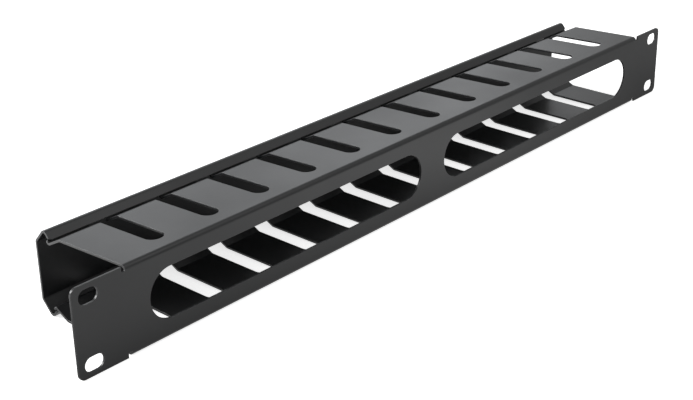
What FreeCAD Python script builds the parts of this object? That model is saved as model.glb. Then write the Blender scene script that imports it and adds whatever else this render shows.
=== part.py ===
import FreeCAD, Part
import math
import os

# Rack cable organizer: a folded one-unit tray panel and its clip-on rear cover.
# Units are millimetres. The origin is the centre of the four rack slots, on the
# front face. X runs along the panel, Y goes to the rear, Z is up.

os.makedirs("parts", exist_ok=True)

# Sheet stock and press tooling
sheet = 1.2
bend_inside = 1.2
kink_inside = 0.5

# Front panel and rack ears. The slot insets give the standard rack pattern of
# 465.1 across and 31.75 between the two slots of one ear.
panel_width = 482.6
panel_height = 43.7
ear_corner_radius = 3.5
rack_slot_side_inset = 8.75
rack_slot_edge_inset = 5.975
rack_slot_length = 10.3
rack_slot_height = 7.0

# Two long openings in the front wall, either side of a centre web
opening_rim = 9.35
opening_web = 20.0
opening_end_margin = 12.2

# Slotted top and bottom plates, which lean inwards towards the rear
duct_width = 424.4
plate_depth = 45.0
plate_lean_deg = 1.4
relief_width = 2.1
relief_extra = 0.1
slot_count = 12
slot_width = 9.8
slot_front_y = 9.7

# Kinked finger tips: down into a valley, then up to the tip
kink_run = 8.0
kink_drop = 4.15
tip_rise_deg = 50.0
tip_length = 1.75
tip_corner_radius = 1.0

# Rear cover, hooked into the valleys by its lips
cover_end_inset = 0.4
ridge_inset = 0.3
back_behind_tips = 8.4
chamfer_height = 6.6
lip_lean_deg = 49.0
lip_gap = 0.3
lip_hook_depth = 0.7
lip_corner_radius = 1.8

# Sizes that follow from the ones above
half_panel = panel_height / 2.0
half_duct = duct_width / 2.0
bend_outside = bend_inside + sheet
finger_width = (duct_width - slot_count * slot_width) / (slot_count + 1)
slot_pitch = slot_width + finger_width
opening_length = (duct_width - opening_web) / 2.0 - opening_end_margin
opening_height = panel_height - 2.0 * opening_rim
rise = math.radians(tip_rise_deg)
kink_start = (plate_depth, half_panel - plate_depth * math.tan(math.radians(plate_lean_deg)))
valley = (kink_start[0] + kink_run, kink_start[1] - kink_drop)
tip = (valley[0] + tip_length * math.cos(rise), valley[1] + tip_length * math.sin(rise))
tip_back_y = tip[0] + sheet * math.sin(rise)
through = 4.0 * sheet


# A point moved along a direction in the section plane
def along(point, direction, distance):
    return (point[0] + direction[0] * distance, point[1] + direction[1] * distance)


# Unit direction from one section point to the next
def heading(start, end):
    run = math.hypot(end[0] - start[0], end[1] - start[1])
    return ((end[0] - start[0]) / run, (end[1] - start[1]) / run)


# Where two section lines cross, each given by a point and a direction
def crossing(point_a, way_a, point_b, way_b):
    spread = way_a[0] * way_b[1] - way_a[1] * way_b[0]
    gap = (point_b[0] - point_a[0], point_b[1] - point_a[1])
    return along(point_a, way_a, (gap[0] * way_b[1] - gap[1] * way_b[0]) / spread)


# A section point becomes a point in space at one X position
def lift(point, x):
    return FreeCAD.Vector(x, point[0], point[1])


# Closed section of a folded strip. The corners lie on the outside face, the
# sheet lies to one side of the line of travel, and each corner has a radius.
def folded_section(corners, radii, side, x):
    first = heading(corners[0], corners[1])
    last = heading(corners[-2], corners[-1])
    near_last = corners[0]
    far_last = along(corners[0], (-first[1] * side, first[0] * side), sheet)
    far_end = along(corners[-1], (-last[1] * side, last[0] * side), sheet)
    edges = [Part.makeLine(lift(near_last, x), lift(far_last, x)),
             Part.makeLine(lift(corners[-1], x), lift(far_end, x))]
    for index in range(1, len(corners) - 1):
        before = heading(corners[index - 1], corners[index])
        after = heading(corners[index], corners[index + 1])
        turn = before[0] * after[1] - before[1] * after[0]
        sign = 1.0 if turn > 0 else -1.0
        angle = math.acos(before[0] * after[0] + before[1] * after[1])
        near_radius = radii[index - 1] + (sheet if sign * side > 0 else 0.0)
        far_radius = radii[index - 1] + (0.0 if sign * side > 0 else sheet)
        start = along(corners[index], before, -near_radius * math.tan(angle / 2.0))
        centre = along(start, (-before[1] * sign, before[0] * sign), near_radius)
        arm = heading(centre, start)
        near_arc = []
        far_arc = []
        for share in (0.0, 0.5, 1.0):
            swing = sign * angle * share
            ray = (arm[0] * math.cos(swing) - arm[1] * math.sin(swing),
                   arm[0] * math.sin(swing) + arm[1] * math.cos(swing))
            near_arc.append(along(centre, ray, near_radius))
            far_arc.append(along(centre, ray, far_radius))
        edges.append(Part.makeLine(lift(near_last, x), lift(near_arc[0], x)))
        edges.append(Part.Arc(*[lift(spot, x) for spot in near_arc]).toShape())
        edges.append(Part.makeLine(lift(far_last, x), lift(far_arc[0], x)))
        edges.append(Part.Arc(*[lift(spot, x) for spot in far_arc]).toShape())
        near_last = near_arc[2]
        far_last = far_arc[2]
    edges.append(Part.makeLine(lift(near_last, x), lift(corners[-1], x)))
    edges.append(Part.makeLine(lift(far_last, x), lift(far_end, x)))
    return Part.Face(Part.Wire(Part.sortEdges(edges)[0]))


# A slot with round ends, lying along X and pushed through the front wall
def stadium_cutter(centre_x, centre_z, length, height):
    radius = height / 2.0
    half = length / 2.0 - radius
    top_left = FreeCAD.Vector(centre_x - half, -sheet, centre_z + radius)
    top_right = FreeCAD.Vector(centre_x + half, -sheet, centre_z + radius)
    low_right = FreeCAD.Vector(centre_x + half, -sheet, centre_z - radius)
    low_left = FreeCAD.Vector(centre_x - half, -sheet, centre_z - radius)
    right = FreeCAD.Vector(centre_x + half + radius, -sheet, centre_z)
    left = FreeCAD.Vector(centre_x - half - radius, -sheet, centre_z)
    edges = [Part.makeLine(top_left, top_right),
             Part.Arc(top_right, right, low_right).toShape(),
             Part.makeLine(low_right, low_left),
             Part.Arc(low_left, left, top_left).toShape()]
    return Part.Face(Part.Wire(edges)).extrude(FreeCAD.Vector(0, through, 0))


# A quarter arc in plan that rounds a corner about its centre
def plan_arc(start, end, centre):
    out = start.add(end).multiply(0.5).sub(centre)
    out.normalize()
    out.multiply(start.sub(centre).Length)
    return Part.Arc(start, centre.add(out), end).toShape()


# A plan outline pushed up through both plates
def plan_cutter(edges):
    return Part.Face(Part.Wire(edges)).extrude(FreeCAD.Vector(0, 0, 2.0 * panel_height))


# One slot, open to the rear: round front end, and a mouth that rounds the tips
def slot_cutter(centre_x):
    base = -panel_height
    half = slot_width / 2.0
    mouth = half + tip_corner_radius
    front_y = slot_front_y + half
    flare_y = tip_back_y - tip_corner_radius
    beyond_y = tip_back_y + sheet
    left_front = FreeCAD.Vector(centre_x - half, front_y, base)
    nose = FreeCAD.Vector(centre_x, slot_front_y, base)
    right_front = FreeCAD.Vector(centre_x + half, front_y, base)
    right_flare = FreeCAD.Vector(centre_x + half, flare_y, base)
    right_tip = FreeCAD.Vector(centre_x + mouth, tip_back_y, base)
    right_out = FreeCAD.Vector(centre_x + mouth, beyond_y, base)
    left_out = FreeCAD.Vector(centre_x - mouth, beyond_y, base)
    left_tip = FreeCAD.Vector(centre_x - mouth, tip_back_y, base)
    left_flare = FreeCAD.Vector(centre_x - half, flare_y, base)
    right_centre = FreeCAD.Vector(centre_x + mouth, flare_y, base)
    left_centre = FreeCAD.Vector(centre_x - mouth, flare_y, base)
    return plan_cutter([
        Part.Arc(left_front, nose, right_front).toShape(),
        Part.makeLine(right_front, right_flare),
        plan_arc(right_flare, right_tip, right_centre),
        Part.makeLine(right_tip, right_out),
        Part.makeLine(right_out, left_out),
        Part.makeLine(left_out, left_tip),
        plan_arc(left_tip, left_flare, left_centre),
        Part.makeLine(left_flare, left_front)])


# Rounds the outer corner of an end finger. The side is -1 for left, +1 for right.
def end_corner_cutter(side):
    base = -panel_height
    edge_x = side * half_duct
    inset_x = edge_x - side * tip_corner_radius
    out_x = edge_x + side * sheet
    flare_y = tip_back_y - tip_corner_radius
    beyond_y = tip_back_y + sheet
    edge = FreeCAD.Vector(edge_x, flare_y, base)
    tip_point = FreeCAD.Vector(inset_x, tip_back_y, base)
    centre = FreeCAD.Vector(inset_x, flare_y, base)
    inner_back = FreeCAD.Vector(inset_x, beyond_y, base)
    outer_back = FreeCAD.Vector(out_x, beyond_y, base)
    outer_front = FreeCAD.Vector(out_x, flare_y, base)
    return plan_cutter([
        plan_arc(edge, tip_point, centre),
        Part.makeLine(tip_point, inner_back),
        Part.makeLine(inner_back, outer_back),
        Part.makeLine(outer_back, outer_front),
        Part.makeLine(outer_front, edge)])


# One rack ear, parted from both folded plates by reliefs with round bottoms
def build_ear(side):
    start_x = half_duct if side > 0 else -panel_width / 2.0
    ear = Part.makeBox(panel_width / 2.0 - half_duct, sheet, panel_height,
                       FreeCAD.Vector(start_x, 0, -half_panel))
    outer_x = side * panel_width / 2.0
    corners = [edge for edge in ear.Edges
               if abs(edge.CenterOfMass.x - outer_x) < sheet / 2.0
               and abs(edge.Length - sheet) < sheet / 2.0]
    ear = ear.makeFillet(ear_corner_radius, corners)
    radius = relief_width / 2.0
    relief_x = side * (half_duct + radius)
    bend_reach = bend_outside * math.tan(math.radians((90.0 + plate_lean_deg) / 2.0))
    floor_z = half_panel - bend_reach - relief_extra
    slot_x = side * (panel_width / 2.0 - rack_slot_side_inset)
    slot_z = half_panel - rack_slot_edge_inset
    for up in (1, -1):
        centre_z = up * (floor_z + radius)
        end_z = up * (half_panel + sheet)
        channel = Part.makeBox(relief_width, through, abs(end_z - centre_z),
                               FreeCAD.Vector(relief_x - radius, -sheet, min(centre_z, end_z)))
        bottom = Part.makeCylinder(radius, through, FreeCAD.Vector(relief_x, -sheet, centre_z),
                                   FreeCAD.Vector(0, 1, 0))
        rack_slot = stadium_cutter(slot_x, up * slot_z, rack_slot_length, rack_slot_height)
        ear = ear.cut([channel, bottom, rack_slot])
    return ear


# Folded tray: front wall, both slotted plates and the kinked finger tips
def build_tray():
    upper = [tip, valley, kink_start, (0.0, half_panel)]
    lower = [(point[0], -point[1]) for point in reversed(upper)]
    radii = [kink_inside, bend_inside, bend_inside, bend_inside, bend_inside, kink_inside]
    section = folded_section(upper + lower, radii, 1.0, -half_duct)
    duct = section.extrude(FreeCAD.Vector(duct_width, 0, 0))
    cutters = []
    for number in range(slot_count):
        cutters.append(slot_cutter((number - (slot_count - 1) / 2.0) * slot_pitch))
    for side in (-1, 1):
        opening_x = side * (opening_web + opening_length) / 2.0
        cutters.append(end_corner_cutter(side))
        cutters.append(stadium_cutter(opening_x, 0.0, opening_length, opening_height))
    return duct.cut(cutters).fuse([build_ear(-1), build_ear(1)]).removeSplitter()


# Outside corners of the cover's upper half, from the lip end to the back wall.
# The lip end stands one gap clear of the finger tip and hooks inside it, and
# the ridge bend stops one inset short of the panel's height.
def cover_corners():
    lean = math.radians(lip_lean_deg)
    lip_up = (math.cos(lean), math.sin(lean))
    inward = (math.sin(lean), -math.cos(lean))
    hook_z = tip[1] - lip_hook_depth
    hook_y = valley[0] + (hook_z - valley[1]) / math.tan(rise) - lip_gap / math.sin(rise)
    lip_end = along((hook_y, hook_z), inward, -sheet)
    ridge_z = half_panel - ridge_inset
    on_edge = along(lip_end, inward, bend_outside)
    centre = along(on_edge, lip_up, (ridge_z - bend_outside - on_edge[1]) / lip_up[1])
    wall_corner = (tip_back_y + back_behind_tips, ridge_z - chamfer_height)
    reach = (centre[0] - wall_corner[0], centre[1] - wall_corner[1])
    bearing = math.atan2(reach[1], reach[0]) - math.asin(bend_outside / math.hypot(*reach))
    chamfer = (math.cos(bearing), math.sin(bearing))
    ridge_corner = crossing(lip_end, lip_up, wall_corner, chamfer)
    return [lip_end, ridge_corner, wall_corner]


# Rounds one lip corner in the plane of the lip
def lip_corner_cutter(lip_end, lip_up, side, end_x):
    corner = lift(lip_end, side * end_x)
    up = FreeCAD.Vector(0, lip_up[0], lip_up[1])
    normal = FreeCAD.Vector(0, -lip_up[1], lip_up[0])
    outward = FreeCAD.Vector(side, 0, 0)
    start = corner.add(normal * sheet)
    centre = start.sub(outward * lip_corner_radius).add(up * lip_corner_radius)
    outer = start.add(outward * sheet).sub(up * sheet)
    wide = start.sub(outward * lip_corner_radius).sub(up * sheet)
    tall = start.add(outward * sheet).add(up * lip_corner_radius)
    block = Part.Face(Part.makePolygon([outer, wide, centre, tall, outer]))
    peg = Part.makeCylinder(lip_corner_radius, through, centre, normal * -1.0)
    return block.extrude(normal * -through).cut(peg)


# Clip-on cover: back wall, two chamfers, rounded ridges and in-turned lips
def build_cover():
    upper = cover_corners()
    lower = [(point[0], -point[1]) for point in reversed(upper)]
    end_x = half_duct - cover_end_inset
    section = folded_section(upper + lower, [bend_inside] * 4, -1.0, -end_x)
    cover = section.extrude(FreeCAD.Vector(2.0 * end_x, 0, 0))
    lip_up = heading(upper[0], upper[1])
    centre_line = FreeCAD.Vector(0, 0, 0)
    for side in (-1, 1):
        top_corner = lip_corner_cutter(upper[0], lip_up, side, end_x)
        low_corner = top_corner.mirror(centre_line, FreeCAD.Vector(0, 0, 1))
        cover = cover.cut([top_corner, low_corner])
    return cover.removeSplitter()


build_tray().exportStep("parts/tray_panel.step")
build_cover().exportStep("parts/rear_cover.step")
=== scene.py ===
import logging
import math
from collections.abc import Callable
from dataclasses import dataclass
from enum import Enum

import bpy
from mathutils import Euler, Matrix, Vector


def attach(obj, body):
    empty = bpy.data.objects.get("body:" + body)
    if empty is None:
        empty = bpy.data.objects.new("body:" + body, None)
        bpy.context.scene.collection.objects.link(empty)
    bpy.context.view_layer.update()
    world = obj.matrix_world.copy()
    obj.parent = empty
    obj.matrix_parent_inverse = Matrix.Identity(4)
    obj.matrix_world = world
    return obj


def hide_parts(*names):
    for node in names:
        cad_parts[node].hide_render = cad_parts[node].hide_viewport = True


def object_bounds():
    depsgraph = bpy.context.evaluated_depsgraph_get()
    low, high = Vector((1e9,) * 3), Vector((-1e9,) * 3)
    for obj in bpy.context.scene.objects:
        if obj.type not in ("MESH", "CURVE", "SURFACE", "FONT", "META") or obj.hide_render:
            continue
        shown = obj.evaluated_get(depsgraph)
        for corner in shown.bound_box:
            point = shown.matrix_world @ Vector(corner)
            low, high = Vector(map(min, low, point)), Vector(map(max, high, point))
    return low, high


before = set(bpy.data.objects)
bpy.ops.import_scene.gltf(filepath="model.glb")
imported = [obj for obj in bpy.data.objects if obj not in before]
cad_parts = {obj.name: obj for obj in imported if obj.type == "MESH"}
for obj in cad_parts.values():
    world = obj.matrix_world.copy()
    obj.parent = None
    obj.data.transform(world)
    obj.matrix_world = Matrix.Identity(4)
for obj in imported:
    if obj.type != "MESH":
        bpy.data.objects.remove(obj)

# Rack cable organizer: the folded tray panel and its clip-on rear cover, both in
# black powder coat, on a pale studio floor. Lengths are in metres. X runs along
# the panel, Y goes to the rear, Z is up.

LOG = logging.getLogger("cable_organizer")
MM = 0.001
ROUND_PROFILE = 0.5
CAD_LOW, CAD_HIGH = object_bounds()

# Plane is a point of a section as Y and Z, and Span is the two ends of a range.
# Triple is a point in space or a light's tint, and Colour has its alpha with it.
Plane = tuple[float, float]
Span = tuple[float, float]
Triple = tuple[float, float, float]
Colour = tuple[float, float, float, float]


class Axis(Enum):
    """The way a cutter is driven, as the turn of an upright cylinder."""

    THROUGH_WALL = (math.pi / 2.0, 0.0, 0.0)
    THROUGH_PLATES = (0.0, 0.0, 0.0)


class SheetSide(Enum):
    """The side of the line of travel that the sheet's thickness lies on."""

    LEFT = 1
    RIGHT = -1


class SeenBy(Enum):
    """The rays that the floor and the world tell apart, as outputs of Light Path."""

    CAMERA = "Is Camera Ray"
    GLOSSY = "Is Glossy Ray"
    TRANSMISSION = "Is Transmission Ray"


def clear_selection() -> None:
    """Goes back to object mode and deselects every object."""
    if bpy.context.object is not None and bpy.context.object.mode != "OBJECT":
        bpy.ops.object.mode_set(mode="OBJECT")
    bpy.ops.object.select_all(action="DESELECT")


def make_active(piece: bpy.types.Object) -> None:
    """Makes one object the only selected and active one.

    Args:
        piece: The object to work on next.
    """
    clear_selection()
    piece.select_set(True)
    bpy.context.view_layer.objects.active = piece


def start_picking(piece: bpy.types.Object, mode: str) -> None:
    """Sets the select mode and deselects the whole mesh, then goes back to object mode.

    Args:
        piece: The mesh object to pick on.
        mode: VERT or EDGE.
    """
    make_active(piece)
    bpy.ops.object.mode_set(mode="EDIT")
    bpy.ops.mesh.select_mode(type=mode)
    bpy.ops.mesh.select_all(action="DESELECT")
    bpy.ops.object.mode_set(mode="OBJECT")


def pick_vertices(piece: bpy.types.Object, wanted: Callable[[Vector], bool]) -> None:
    """Selects vertices by place, and leaves the piece in edit mode.

    Args:
        piece: The mesh object whose vertices are picked.
        wanted: A test on a vertex's place.
    """
    start_picking(piece, "VERT")
    for vertex in piece.data.vertices:
        vertex.select = bool(wanted(vertex.co))
    bpy.ops.object.mode_set(mode="EDIT")


def pick_edges(piece: bpy.types.Object,
               wanted: Callable[[Vector, Vector], bool]) -> None:
    """Selects edges by the places of their two ends, and leaves the piece in edit mode.

    Args:
        piece: The mesh object whose edges are picked.
        wanted: A test on both ends of an edge.
    """
    start_picking(piece, "EDGE")
    spots = piece.data.vertices
    for edge in piece.data.edges:
        first, second = (spots[index].co for index in edge.vertices)
        edge.select = bool(wanted(first, second))
    bpy.ops.object.mode_set(mode="EDIT")


def apply_modifier(piece: bpy.types.Object, kind: str, **settings: object) -> None:
    """Adds one modifier to a piece and applies it.

    Args:
        piece: The mesh object to change.
        kind: Blender's name for the modifier's type.
        **settings: The modifier's settings by name.
    """
    make_active(piece)
    modifier = piece.modifiers.new(kind.lower(), kind)
    for name, value in settings.items():
        setattr(modifier, name, value)
    bpy.ops.object.modifier_apply(modifier=modifier.name)


@dataclass(frozen=True)
class SheetStock:
    """The sheet steel that both pieces are folded from.

    The edge radius is what deburring and the coat leave on a cut edge.
    """

    thickness: float = 1.2 * MM
    bend_inside: float = 1.2 * MM
    edge_radius: float = 0.2 * MM
    edge_steps: int = 3
    edge_angle_deg: float = 40.0
    bend_step_deg: float = 7.5
    fewest_bend_steps: int = 4
    flat_angle_deg: float = 0.5
    snap_distance: float = 0.002 * MM
    merge_distance: float = 0.03 * MM


class FoldedStrip:
    """A strip of sheet along X that is folded one run and one bend at a time."""

    def __init__(self, name: str, half_length: float, stock: SheetStock) -> None:
        """Starts with a single edge of the strip, along X through the origin.

        Args:
            name: The piece's name.
            half_length: Half of the strip's length along X.
            stock: The sheet that it is folded from.
        """
        self.stock = stock
        clear_selection()
        # A plane that reaches 1 m each way, squeezed to one edge of the right length.
        bpy.ops.mesh.primitive_plane_add(size=2.0, location=(0.0, 0.0, 0.0))
        self.piece = bpy.context.object
        self.piece.name = name
        self.piece.data.name = name
        bpy.ops.object.mode_set(mode="EDIT")
        bpy.ops.mesh.select_all(action="SELECT")
        bpy.ops.transform.resize(value=(half_length, 0.0, 0.0),
                                 center_override=(0.0, 0.0, 0.0))
        bpy.ops.mesh.remove_doubles(threshold=stock.snap_distance)

    def fold_through(self, corners: list[Plane], inside: list[float],
                     side: SheetSide) -> None:
        """Runs the strip through its outside corners, with a bend at each inner one.

        Args:
            corners: The outside corners of the section, as Y and Z.
            inside: The inside radius at each corner between the first and the last.
            side: The side of travel that the sheet's thickness lies on.
        """
        points = [Vector(corner) for corner in corners]
        bpy.ops.mesh.select_mode(type="EDGE")
        bpy.ops.mesh.select_all(action="SELECT")
        bpy.ops.transform.translate(value=(0.0, points[0].x, points[0].y))
        spent = 0.0
        for index in range(1, len(points) - 1):
            way = (points[index] - points[index - 1]).normalized()
            onward = (points[index + 1] - points[index]).normalized()
            run = (points[index] - points[index - 1]).length - spent
            turn = math.atan2(way.x * onward.y - way.y * onward.x, way.dot(onward))
            toward_sheet = turn * side.value > 0.0
            radius = inside[index - 1] + (self.stock.thickness if toward_sheet else 0.0)
            spent = radius * math.tan(abs(turn) / 2.0)
            self.advance(way, run - spent)
            self.bend(points[index] - way * spent, way, turn, radius)
        last = points[-1] - points[-2]
        self.advance(last.normalized(), last.length - spent)
        bpy.ops.object.mode_set(mode="OBJECT")

    def advance(self, way: Vector, run: float) -> None:
        """Extrudes the strip's free edge straight on, by a run along its way in YZ."""
        bpy.ops.mesh.extrude_region_move(
            TRANSFORM_OT_translate={"value": (0.0, way.x * run, way.y * run)})

    def bend(self, start: Vector, way: Vector, turn: float, radius: float) -> None:
        """Spins the strip's free edge round a bend.

        Args:
            start: Where the bend begins, as Y and Z.
            way: The direction of travel on reaching it.
            turn: The angle to turn through, positive to the left of travel.
            radius: The radius of the face that the strip follows.
        """
        centre = start + Vector((-way.y, way.x)) * math.copysign(radius, turn)
        steps = math.ceil(abs(math.degrees(turn)) / self.stock.bend_step_deg)
        bpy.ops.mesh.spin(steps=max(self.stock.fewest_bend_steps, steps), angle=-turn,
                          center=(0.0, centre.x, centre.y), axis=(1.0, 0.0, 0.0),
                          use_auto_merge=False)

    def face_outwards(self, outward: Vector) -> None:
        """Turns the faces so that the widest one looks out.

        Args:
            outward: The direction that the widest face has to look in.
        """
        widest = max(self.piece.data.polygons, key=lambda face: face.area)
        make_active(self.piece)
        bpy.ops.object.mode_set(mode="EDIT")
        bpy.ops.mesh.select_all(action="SELECT")
        if widest.normal.dot(outward) < 0.0:
            bpy.ops.mesh.flip_normals()
        bpy.ops.object.mode_set(mode="OBJECT")

    def thicken(self) -> None:
        """Gives the strip the sheet's thickness, inwards from its outside face."""
        apply_modifier(self.piece, "SOLIDIFY", thickness=self.stock.thickness,
                       offset=-1.0, use_even_offset=True, use_quality_normals=True)

    def mend(self) -> None:
        """Merges doubled vertices and turns every face outwards after the cutting."""
        make_active(self.piece)
        bpy.ops.object.mode_set(mode="EDIT")
        bpy.ops.mesh.select_all(action="SELECT")
        bpy.ops.mesh.remove_doubles(threshold=self.stock.merge_distance)
        bpy.ops.mesh.dissolve_degenerate(threshold=self.stock.snap_distance)
        bpy.ops.mesh.select_all(action="SELECT")
        bpy.ops.mesh.normals_make_consistent(inside=False)
        bpy.ops.object.mode_set(mode="OBJECT")

    def soften_edges(self) -> None:
        """Rounds the cut edges as the coat does, and smooths the bends' shading."""
        make_active(self.piece)
        bpy.ops.object.shade_smooth()
        apply_modifier(self.piece, "BEVEL", width=self.stock.edge_radius,
                       segments=self.stock.edge_steps, limit_method="ANGLE",
                       angle_limit=math.radians(self.stock.edge_angle_deg),
                       use_clamp_overlap=False, harden_normals=True)
        apply_modifier(self.piece, "WEIGHTED_NORMAL", keep_sharp=True)


class CutterRack:
    """Collects the round-ended cutters for one piece and drives them together."""

    def __init__(self) -> None:
        """Starts with no cutters."""
        self.cutters: list[bpy.types.Object] = []

    def add(self, centre: Vector, width: float, near: Vector, far: Vector, depth: float,
            axis: Axis, facets: int) -> None:
        """Adds one cutter: a cylinder whose two halves are moved apart.

        Args:
            centre: The middle of the cylinder before it is stretched.
            width: The cutter's width across its straight sides.
            near: How far its near half moves.
            far: How far its far half moves.
            depth: The cutter's length along its axis.
            axis: The way it is driven through the sheet.
            facets: How many sides the cylinder has.
        """
        half_facet = math.pi / facets
        clear_selection()
        bpy.ops.mesh.primitive_cylinder_add(vertices=facets, depth=depth,
                                            radius=width / 2.0 / math.cos(half_facet))
        cutter = bpy.context.object
        cutter.matrix_world = (Euler(axis.value).to_matrix().to_4x4()
                               @ Matrix.Rotation(half_facet, 4, "Z"))
        bpy.ops.object.transform_apply(location=True, rotation=True, scale=True)
        along = (far - near).normalized()
        pick_vertices(cutter, lambda spot: spot.dot(along) < 0.0)
        bpy.ops.transform.translate(value=near)
        pick_vertices(cutter, lambda spot: spot.dot(along) > 0.0)
        bpy.ops.transform.translate(value=far)
        bpy.ops.mesh.select_all(action="SELECT")
        bpy.ops.transform.translate(value=centre)
        bpy.ops.object.mode_set(mode="OBJECT")
        self.cutters.append(cutter)

    def drive(self, piece: bpy.types.Object) -> None:
        """Cuts every collected shape out of a piece and removes the cutters.

        Args:
            piece: The closed sheet that is cut.
        """
        make_active(self.cutters[0])
        for cutter in self.cutters:
            cutter.select_set(True)
        bpy.ops.object.join()
        joined = bpy.context.object
        apply_modifier(piece, "BOOLEAN", operation="DIFFERENCE", solver="EXACT",
                       object=joined)
        make_active(joined)
        bpy.ops.object.delete()
        self.cutters = []


@dataclass
class TrayPanel:
    """The folded tray: front wall with ears, and two plates cut into fingers."""

    stock: SheetStock
    panel_width: float = 482.6 * MM
    panel_height: float = 43.7 * MM
    duct_width: float = 424.4 * MM
    ear_corner_radius: float = 3.5 * MM
    ear_corner_steps: int = 10
    rack_slot_across: float = 465.1 * MM
    rack_slot_apart: float = 31.75 * MM
    rack_slot_length: float = 10.3 * MM
    rack_slot_height: float = 7.0 * MM
    opening_length: float = 190.0 * MM
    opening_height: float = 25.0 * MM
    opening_web: float = 20.0 * MM
    plate_depth: float = 45.0 * MM
    plate_lean_deg: float = 1.4
    kink_run: float = 8.0 * MM
    kink_drop: float = 4.15 * MM
    kink_inside: float = 0.5 * MM
    tip_rise_deg: float = 50.0
    tip_length: float = 1.75 * MM
    tip_corner_radius: float = 1.0 * MM
    tip_corner_steps: int = 5
    slot_count: int = 12
    slot_width: float = 9.8 * MM
    slot_front_y: float = 9.7 * MM
    relief_width: float = 2.1 * MM
    relief_floor: float = 19.29 * MM
    overcut: float = 0.01 * MM
    cutter_sheets: float = 4.0
    run_out_sheets: float = 2.0
    fine_facets: int = 96
    small_facets: int = 48

    def half_section(self) -> list[Plane]:
        """Outside corners of the upper half of the section.

        Returns:
            The tip, the valley, the start of the kink and the front corner.
        """
        half = self.panel_height / 2.0
        lean = self.plate_depth * math.tan(math.radians(self.plate_lean_deg))
        kink = (self.plate_depth, half - lean)
        valley = (kink[0] + self.kink_run, kink[1] - self.kink_drop)
        rise = math.radians(self.tip_rise_deg)
        tip = (valley[0] + self.tip_length * math.cos(rise),
               valley[1] + self.tip_length * math.sin(rise))
        return [tip, valley, kink, (0.0, half)]

    def fold(self) -> FoldedStrip:
        """Folds the tray's strip from the upper finger tips round to the lower ones.

        Returns:
            The strip, as an open surface on the sheet's outside face.
        """
        upper = self.half_section()
        lower = [(y, -z) for y, z in reversed(upper)]
        inner = self.stock.bend_inside
        strip = FoldedStrip("coated_tray_panel", self.duct_width / 2.0, self.stock)
        strip.fold_through(upper + lower, [self.kink_inside, inner, inner, inner, inner,
                                           self.kink_inside], SheetSide.LEFT)
        return strip

    def draw_ears(self, piece: bpy.types.Object) -> None:
        """Extrudes both ears from the ends of the front wall and rounds their corners.

        Args:
            piece: The folded surface.
        """
        half_duct = self.duct_width / 2.0
        half_panel = self.panel_width / 2.0
        half_height = self.panel_height / 2.0
        near = self.stock.snap_distance
        for sign in (-1.0, 1.0):
            pick_edges(piece, lambda a, b: abs(a.x - sign * half_duct) < near
                       and abs(b.x - sign * half_duct) < near
                       and abs(a.z - b.z) > half_height)
            for reach in (self.relief_width / 2.0,
                          half_panel - half_duct - self.relief_width / 2.0):
                bpy.ops.mesh.extrude_region_move(
                    TRANSFORM_OT_translate={"value": (sign * reach, 0.0, 0.0)})
            bpy.ops.object.mode_set(mode="OBJECT")
            flat_z = max(spot.co.z for spot in piece.data.vertices
                         if spot.co.x * sign > half_panel - near)
            for up in (-1.0, 1.0):
                pick_edges(piece, lambda a, b: a.x * sign > half_duct + near
                           and b.x * sign > half_duct + near
                           and abs(a.x - b.x) > self.relief_width
                           and a.z * up > 0.0 and b.z * up > 0.0)
                rise = up * (half_height - flat_z)
                bpy.ops.mesh.extrude_region_move(
                    TRANSFORM_OT_translate={"value": (0.0, 0.0, rise)})
            pick_vertices(piece, lambda spot: spot.x * sign > half_duct - near
                          and abs(spot.y) < near)
            bpy.ops.mesh.dissolve_limited(
                angle_limit=math.radians(self.stock.flat_angle_deg))
        pick_vertices(piece, lambda spot: abs(spot.x) > half_panel - near)
        bpy.ops.mesh.bevel(affect="VERTICES", offset=self.ear_corner_radius,
                           segments=self.ear_corner_steps, profile=ROUND_PROFILE,
                           clamp_overlap=False)
        bpy.ops.object.mode_set(mode="OBJECT")

    def punch(self, piece: bpy.types.Object) -> None:
        """Cuts the openings, the rack slots, the bend reliefs and the comb slots.

        Args:
            piece: The thickened tray.
        """
        rack = CutterRack()
        self.punch_wall(rack)
        self.punch_comb(rack)
        rack.drive(piece)
        self.flatten_ends(piece)

    def punch_wall(self, rack: CutterRack) -> None:
        """Adds the cutters that go through the front wall and the ears.

        Args:
            rack: The rack that collects them.
        """
        along_x = Vector((1.0, 0.0, 0.0))
        depth = self.stock.thickness * self.cutter_sheets
        opening_reach = (self.opening_length - self.opening_height) / 2.0
        slot_reach = (self.rack_slot_length - self.rack_slot_height) / 2.0
        opening_x = (self.opening_web + self.opening_length) / 2.0
        relief_radius = self.relief_width / 2.0
        for sign in (-1.0, 1.0):
            rack.add(along_x * sign * opening_x, self.opening_height,
                     along_x * -opening_reach, along_x * opening_reach, depth,
                     Axis.THROUGH_WALL, self.fine_facets)
            for up in (-1.0, 1.0):
                seat = Vector((sign * self.rack_slot_across / 2.0, 0.0,
                               up * self.rack_slot_apart / 2.0))
                rack.add(seat, self.rack_slot_height, along_x * -slot_reach,
                         along_x * slot_reach, depth, Axis.THROUGH_WALL,
                         self.small_facets)
                foot = Vector((sign * (self.duct_width / 2.0 + relief_radius), 0.0,
                               up * (self.relief_floor + relief_radius)))
                rack.add(foot, self.relief_width + 2.0 * self.overcut, Vector(),
                         Vector((0.0, 0.0, up * self.relief_run())), depth,
                         Axis.THROUGH_WALL, self.small_facets)

    def relief_run(self) -> float:
        """How far a relief cutter is stretched to run out past the panel's edge."""
        return self.stock.bend_inside + self.run_out_sheets * self.stock.thickness

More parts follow.
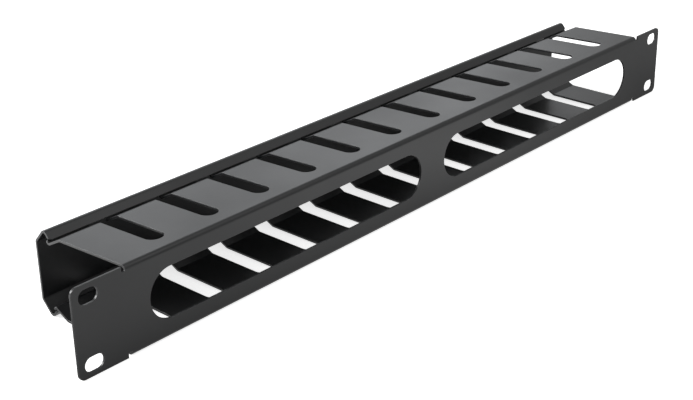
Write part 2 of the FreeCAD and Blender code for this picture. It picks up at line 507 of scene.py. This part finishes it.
    def punch_comb(self, rack: CutterRack) -> None:
        """Adds the cutters of the comb slots, open to the rear through both plates.

        Args:
            rack: The rack that collects them.
        """
        pitch = self.slot_width + self.finger_width()
        radius = self.slot_width / 2.0
        beyond = self.plate_depth + self.kink_run
        for number in range(self.slot_count):
            x = (number - (self.slot_count - 1) / 2.0) * pitch
            foot = Vector((x, self.slot_front_y + radius, 0.0))
            rack.add(foot, self.slot_width, Vector(), Vector((0.0, beyond, 0.0)),
                     2.0 * self.panel_height, Axis.THROUGH_PLATES, self.small_facets)

    def flatten_ends(self, piece: bpy.types.Object) -> None:
        """Brings the duct's cut ends back to one plane beside the relief cutters.

        Args:
            piece: The punched tray.
        """
        for sign in (-1.0, 1.0):
            end_x = sign * self.duct_width / 2.0
            pick_vertices(piece, lambda spot: abs(spot.x - end_x) < 2.0 * self.overcut)
            bpy.ops.transform.resize(value=(0.0, 1.0, 1.0), orient_type="GLOBAL",
                                     center_override=(end_x, 0.0, 0.0))
            bpy.ops.object.mode_set(mode="OBJECT")

    def finger_width(self) -> float:
        """The width of one finger, with the same at both ends of the comb."""
        solid = self.duct_width - self.slot_count * self.slot_width
        return solid / (self.slot_count + 1)

    def round_finger_tips(self, piece: bpy.types.Object) -> None:
        """Rounds both corners of every finger tip, in the plane of the tip.

        Args:
            piece: The punched tray.
        """
        tip, valley = (Vector(corner) for corner in self.half_section()[:2])
        rise = (tip - valley).normalized()
        reach = tip.dot(rise) - self.stock.snap_distance

        def at_end(spot: Vector) -> bool:
            """Whether a vertex lies in the end face of a finger tip."""
            return Vector((spot.y, abs(spot.z))).dot(rise) > reach

        pick_edges(piece, lambda a, b: at_end(a) and at_end(b)
                   and abs(a.x - b.x) < self.stock.snap_distance)
        bpy.ops.mesh.bevel(affect="EDGES", offset=self.tip_corner_radius,
                           segments=self.tip_corner_steps, profile=ROUND_PROFILE,
                           clamp_overlap=False)
        bpy.ops.object.mode_set(mode="OBJECT")

    def build(self) -> bpy.types.Object:
        """Makes the whole tray.

        Returns:
            The finished piece, in place and without a finish.
        """
        strip = self.fold()
        self.draw_ears(strip.piece)
        strip.face_outwards(Vector((0.0, -1.0, 0.0)))
        strip.thicken()
        self.punch(strip.piece)
        strip.mend()
        self.round_finger_tips(strip.piece)
        strip.soften_edges()
        return strip.piece


@dataclass
class RearCover:
    """The clip-on rear cover: wall, chamfers, rounded ridges and in-turned lips."""

    stock: SheetStock
    length: float = 423.6 * MM
    lip_end: Plane = (52.240 * MM, 18.028 * MM)
    ridge_corner: Plane = (56.358 * MM, 22.765 * MM)
    wall_corner: Plane = (63.444 * MM, 14.950 * MM)
    lip_corner_radius: float = 1.8 * MM
    lip_corner_steps: int = 6

    def build(self) -> bpy.types.Object:
        """Makes the whole cover.

        Returns:
            The finished piece, in place and without a finish.
        """
        upper = [self.lip_end, self.ridge_corner, self.wall_corner]
        lower = [(y, -z) for y, z in reversed(upper)]
        strip = FoldedStrip("coated_rear_cover", self.length / 2.0, self.stock)
        strip.fold_through(upper + lower, [self.stock.bend_inside] * 4, SheetSide.RIGHT)
        self.round_lip_corners(strip.piece)
        strip.face_outwards(Vector((0.0, 1.0, 0.0)))
        strip.thicken()
        strip.mend()
        strip.soften_edges()
        return strip.piece

    def round_lip_corners(self, piece: bpy.types.Object) -> None:
        """Rounds the four free corners of the lips.

        Args:
            piece: The folded surface.
        """
        near = self.stock.snap_distance
        pick_vertices(piece, lambda spot: abs(spot.y - self.lip_end[0]) < near)
        bpy.ops.mesh.bevel(affect="VERTICES", offset=self.lip_corner_radius,
                           segments=self.lip_corner_steps, profile=ROUND_PROFILE,
                           clamp_overlap=False)
        bpy.ops.object.mode_set(mode="OBJECT")


class NodeDesk:
    """A short way to lay out shader nodes in one tree."""

    def __init__(self, tree: bpy.types.NodeTree) -> None:
        """Empties the node tree that is to be filled, and keeps it."""
        self.tree = tree
        self.tree.nodes.clear()

    def node(self, kind: str, inputs: dict[str | int, object] | None = None,
             **settings: object) -> bpy.types.Node:
        """Adds a node, sets its settings and sets or links its inputs.

        Args:
            kind: The node's type.
            inputs: A value or an output socket for each input, by name or number.
            **settings: The node's own settings by name.

        Returns:
            The new node.
        """
        made = self.tree.nodes.new(kind)
        for name, value in settings.items():
            setattr(made, name, value)
        for name, value in (inputs or {}).items():
            if isinstance(value, bpy.types.NodeSocket):
                self.tree.links.new(value, made.inputs[name])
            else:
                made.inputs[name].default_value = value
        return made

    def combine(self, operation: str, first: object,
                second: object = 0.0) -> bpy.types.NodeSocket:
        """Adds a math node on values or output sockets."""
        return self.node("ShaderNodeMath", {0: first, 1: second},
                         operation=operation).outputs[0]

    def spread(self, value: bpy.types.NodeSocket, span: Span,
               results: Span) -> bpy.types.NodeSocket:
        """Adds a node that maps a span of a value to a span of results."""
        ends = {0: value, 1: span[0], 2: span[1], 3: results[0], 4: results[1]}
        return self.node("ShaderNodeMapRange", ends).outputs[0]

    def blend(self, share: bpy.types.NodeSocket, first: object,
              second: object) -> bpy.types.NodeSocket:
        """Adds a node that mixes two colours by the share of the second."""
        return self.node("ShaderNodeMix", {0: share, 6: first, 7: second},
                         data_type="RGBA").outputs[2]

    def noise(self, spot: bpy.types.NodeSocket, size: float, detail: float,
              roughness: float) -> bpy.types.NodeSocket:
        """Adds a noise texture.

        Args:
            spot: The coordinates that it is read at.
            size: The size of its features.
            detail: How many finer layers it has.
            roughness: How strong the finer layers are.

        Returns:
            The noise's value.
        """
        layers = {"Vector": spot, "Scale": 1.0 / size, "Detail": detail,
                  "Roughness": roughness}
        return self.node("ShaderNodeTexNoise", layers).outputs[0]


@dataclass(frozen=True)
class PowderCoat:
    """Fine-textured black powder coat, baked on sheet steel.

    The grain is the coat's own fine texture, the ripple is its slow flow, and
    the cloud is the slight unevenness of gloss and tone over the whole sheet.
    """

    name: str = "black_powder_coat"
    dark: Colour = (0.0095, 0.0100, 0.0106, 1.0)
    light: Colour = (0.0150, 0.0156, 0.0166, 1.0)
    # Painted highlight: the light tone that the cut edges are blended towards.
    edge_highlight_tone: Colour = (0.165, 0.167, 0.170, 1.0)
    grain_size: float = 0.35 * MM
    grain_detail: float = 2.0
    grain_roughness: float = 0.55
    grain_height: float = 0.010 * MM
    grain_tone_share: float = 0.6
    ripple_size: float = 2.2 * MM
    ripple_detail: float = 1.0
    ripple_share: float = 0.45
    cloud_size: float = 60.0 * MM
    cloud_detail: float = 3.0
    cloud_tone_share: float = 0.4
    cloud_range: Span = (0.3, 0.7)
    flow_roughness: float = 0.5
    roughness: Span = (0.31, 0.40)
    gloss: float = 0.5
    edge_width: float = 0.45 * MM
    edge_samples: int = 4
    edge_facing: Span = (0.995, 0.80)
    edge_shares: Span = (0.0, 0.8)

    def material(self) -> bpy.types.Material:
        """Builds the coat's shader.

        Returns:
            The material, read in Object coordinates only.
        """
        made = bpy.data.materials.new(self.name)
        made.use_nodes = True
        desk = NodeDesk(made.node_tree)
        spot = desk.node("ShaderNodeTexCoord").outputs["Object"]
        grain = desk.noise(spot, self.grain_size, self.grain_detail,
                           self.grain_roughness)
        ripple = desk.noise(spot, self.ripple_size, self.ripple_detail,
                            self.flow_roughness)
        cloud = desk.noise(spot, self.cloud_size, self.cloud_detail,
                           self.flow_roughness)
        height = desk.combine(
            "ADD", desk.combine("MULTIPLY", ripple, self.ripple_share), grain)
        bump = desk.node("ShaderNodeBump", {"Height": height, "Strength": 1.0,
                                            "Distance": self.grain_height})
        tone_share = desk.combine(
            "ADD", desk.combine("MULTIPLY", grain, self.grain_tone_share),
            desk.combine("MULTIPLY", cloud, self.cloud_tone_share))
        tone = desk.blend(tone_share, self.dark, self.light)
        # Painted highlight: the cut edges are blended towards a light tone.
        highlighted_tone = desk.blend(self._painted_highlight_mask(desk), tone, self.edge_highlight_tone)
        rough = desk.spread(cloud, self.cloud_range, self.roughness)
        shader = desk.node("ShaderNodeBsdfPrincipled",
                           {"Base Color": highlighted_tone, "Roughness": rough,
                            "Specular IOR Level": self.gloss,
                            "Normal": bump.outputs[0]})
        desk.node("ShaderNodeOutputMaterial", {"Surface": shader.outputs[0]})
        return made

    def _painted_highlight_mask(self, desk: NodeDesk) -> bpy.types.NodeSocket:
        """Finds the cut edges, where a lighter tone is painted on as a highlight.

        Args:
            desk: The desk of the coat's node tree.

        Returns:
            A value of 0 on the flats that rises towards the edges.
        """
        rounded = desk.node("ShaderNodeBevel", {"Radius": self.edge_width},
                            samples=self.edge_samples)
        true_normal = desk.node("ShaderNodeNewGeometry").outputs["Normal"]
        facing = desk.node("ShaderNodeVectorMath",
                           {0: rounded.outputs[0], 1: true_normal},
                           operation="DOT_PRODUCT").outputs["Value"]
        return desk.spread(facing, self.edge_facing, self.edge_shares)


@dataclass(frozen=True)
class PaleFloor:
    """A plain pale floor that looks white to the camera and keeps the part's shadow.

    In the part's gloss it shows a painted pool of light in front of the part, which fades
    to the left and to the right, with painted shade towards the part, and a painted bright
    floor behind it.
    """

    name: str = "pale_floor"
    tone: Colour = (0.80, 0.80, 0.80, 1.0)
    glow: float = 0.75
    pool_glow: float = 1.24
    pool_left: Span = (-0.30, 0.0)
    pool_left_shares: Span = (0.72, 1.0)
    pool_right: Span = (0.08, 0.26)
    pool_right_shares: Span = (1.0, 0.48)
    part_middle_y: float = 0.03
    shade_near_part: Span = (0.03, 0.075)
    shade_near_part_shares: Span = (0.50, 1.0)
    rear_y: Span = (0.03, 0.10)
    rear_glow: Span = (0.0, 1.10)

    def material(self) -> bpy.types.Material:
        """Builds the floor's shader.

        Returns:
            A matt white with a glow for the camera, and a painted glow alone for glossy
            rays.
        """
        made = bpy.data.materials.new(self.name)
        made.use_nodes = True
        desk = NodeDesk(made.node_tree)
        path = desk.node("ShaderNodeLightPath").outputs
        mirrored = desk.combine("ADD", path[SeenBy.GLOSSY.value],
                                path[SeenBy.TRANSMISSION.value])
        matt = desk.node("ShaderNodeBsdfDiffuse", {"Color": self.tone})
        shine = desk.node("ShaderNodeEmission", {
            "Strength": desk.combine("MULTIPLY", path[SeenBy.CAMERA.value], self.glow)})
        plain = desk.node("ShaderNodeAddShader",
                          {0: matt.outputs[0], 1: shine.outputs[0]})
        pool = desk.node("ShaderNodeEmission", {"Strength": self._painted_reflection_glow(desk)})
        both = desk.node("ShaderNodeMixShader", {0: mirrored, 1: plain.outputs[0],
                                                 2: pool.outputs[0]})
        desk.node("ShaderNodeOutputMaterial", {"Surface": both.outputs[0]})
        return made

    def _painted_reflection_glow(self, desk: NodeDesk) -> bpy.types.NodeSocket:
        """Works out the painted reflection of the floor in the part's gloss, with painted
        shade towards the part.

        Args:
            desk: The desk of the floor's node tree.

        Returns:
            The strength of the glow from place to place.
        """
        spot = desk.node("ShaderNodeTexCoord").outputs["Object"]
        place = desk.node("ShaderNodeSeparateXYZ", {0: spot}).outputs
        across = desk.combine(
            "MULTIPLY", desk.spread(place["X"], self.pool_left, self.pool_left_shares),
            desk.spread(place["X"], self.pool_right, self.pool_right_shares))
        # Painted shade: the mirrored glow is dimmed near the part's middle line.
        away = desk.combine("ABSOLUTE",
                            desk.combine("SUBTRACT", place["Y"], self.part_middle_y))
        pool = desk.combine("MULTIPLY", across,
                            desk.spread(away, self.shade_near_part, self.shade_near_part_shares))
        return desk.combine("ADD", desk.combine("MULTIPLY", pool, self.pool_glow),
                            desk.spread(place["Y"], self.rear_y, self.rear_glow))


@dataclass(frozen=True)
class Softbox:
    """One square-edged studio light."""

    name: str
    place: Triple
    target: Triple
    size: Span
    power: float
    matt_share: float = 1.0
    tint: Triple = (1.0, 1.0, 1.0)

    def hang(self) -> None:
        """Adds the light and points it at its target."""
        lamp = bpy.data.lights.new(self.name, "AREA")
        lamp.shape = "RECTANGLE"
        lamp.size, lamp.size_y = self.size
        lamp.energy = self.power
        lamp.diffuse_factor = self.matt_share
        lamp.color = self.tint
        holder = bpy.data.objects.new(self.name, lamp)
        bpy.context.scene.collection.objects.link(holder)
        holder.location = self.place
        aim = Vector(self.target) - Vector(self.place)
        holder.rotation_euler = aim.to_track_quat("-Z", "Y").to_euler()


@dataclass
class Studio:
    """Floor, backdrop, lights and the camera at the photograph's angle."""

    floor_half: float = 6.0
    fill_strength: float = 0.45
    mirror_strength: float = 0.48
    image_width: int = 693
    focal_pixels: float = 1334.204
    sensor_width: float = 36.0
    camera_place: Triple = (-528.228 * MM, -404.403 * MM, 268.740 * MM)
    camera_turn_deg: Triple = (66.5675, 1.0094, -48.9688)
    camera_sight: Span = (0.01, 50.0)
    softboxes: tuple[Softbox, ...] = (
        Softbox(name="overhead_softbox", place=(0.5, -0.8, 1.25),
                target=(0.0, 0.03, 0.0), size=(1.2, 1.0), power=3.1),
        Softbox(name="back_softbox", place=(0.95, 1.5, 0.87), target=(0.0, 0.03, 0.0),
                size=(2.0, 0.9), power=6.5, matt_share=0.3, tint=(0.94, 0.97, 1.0)),
        Softbox(name="left_softbox", place=(-1.0, 1.15, 0.78), target=(-0.2, 0.0, 0.0),
                size=(0.7, 0.6), power=26.0, matt_share=0.4),
    )

    def lay_floor(self) -> None:
        """Lays the floor under the part's lowest point."""
        clear_selection()
        bpy.ops.mesh.primitive_plane_add(size=2.0 * self.floor_half,
                                         location=(0.0, 0.0, CAD_LOW.z))
        floor = bpy.context.object
        floor.name = "studio_floor"
        floor.data.materials.append(PaleFloor().material())

    def light_world(self) -> None:
        """Gives the world a soft fill, and a white that camera and glossy rays see."""
        scene = bpy.context.scene
        world = bpy.data.worlds.new("studio_world")
        scene.world = world
        world.use_nodes = True
        desk = NodeDesk(world.node_tree)
        path = desk.node("ShaderNodeLightPath").outputs
        mirrored = desk.combine("ADD", path[SeenBy.GLOSSY.value],
                                path[SeenBy.TRANSMISSION.value])
        mirror = desk.combine("MULTIPLY", mirrored,
                              self.mirror_strength - self.fill_strength)
        camera = desk.combine("MULTIPLY", path[SeenBy.CAMERA.value],
                              1.0 - self.fill_strength)
        strength = desk.combine("ADD", desk.combine("ADD", mirror, camera),
                                self.fill_strength)
        sky = desk.node("ShaderNodeBackground", {"Color": (1.0, 1.0, 1.0, 1.0),
                                                 "Strength": strength})
        desk.node("ShaderNodeOutputWorld", {"Surface": sky.outputs[0]})

    def hang_lights(self) -> None:
        """Hangs the softboxes: overhead, behind the part and on its left."""
        for softbox in self.softboxes:
            softbox.hang()

    def set_camera(self) -> None:
        """Places the camera where the photograph was taken from."""
        scene = bpy.context.scene
        data = bpy.data.cameras.new("photo_camera")
        data.sensor_fit = "HORIZONTAL"
        data.sensor_width = self.sensor_width
        data.lens = self.focal_pixels / self.image_width * self.sensor_width
        data.clip_start, data.clip_end = self.camera_sight
        camera = bpy.data.objects.new("photo_camera", data)
        scene.collection.objects.link(camera)
        camera.location = self.camera_place
        camera.rotation_euler = [math.radians(turn) for turn in self.camera_turn_deg]
        scene.camera = camera

    def build(self) -> None:
        """Sets up the whole studio."""
        bpy.context.scene.view_settings.view_transform = "Standard"
        self.lay_floor()
        self.light_world()
        self.hang_lights()
        self.set_camera()


def dress(piece: bpy.types.Object, node: str, body: str,
          coat: bpy.types.Material) -> None:
    """Gives a piece its finish, its CAD node to stand for and its body to ride on.

    Args:
        piece: The finished piece.
        node: The CAD node that it replaces.
        body: The CAD body that it rides on.
        coat: The material.
    """
    piece.data.materials.clear()
    piece.data.materials.append(coat)
    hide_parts(node)
    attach(piece, body)
    LOG.info("%s: %d faces, rides on %s", piece.name, len(piece.data.polygons), body)


def main() -> None:
    """Builds the studio, then both pieces in order."""
    logging.basicConfig(level=logging.INFO, format="%(name)s: %(message)s")
    stock = SheetStock()
    Studio().build()
    coat = PowderCoat().material()
    dress(TrayPanel(stock).build(), "tray_panel", "tray", coat)
    dress(RearCover(stock).build(), "rear_cover", "cover", coat)


if __name__ == "__main__":
    main()
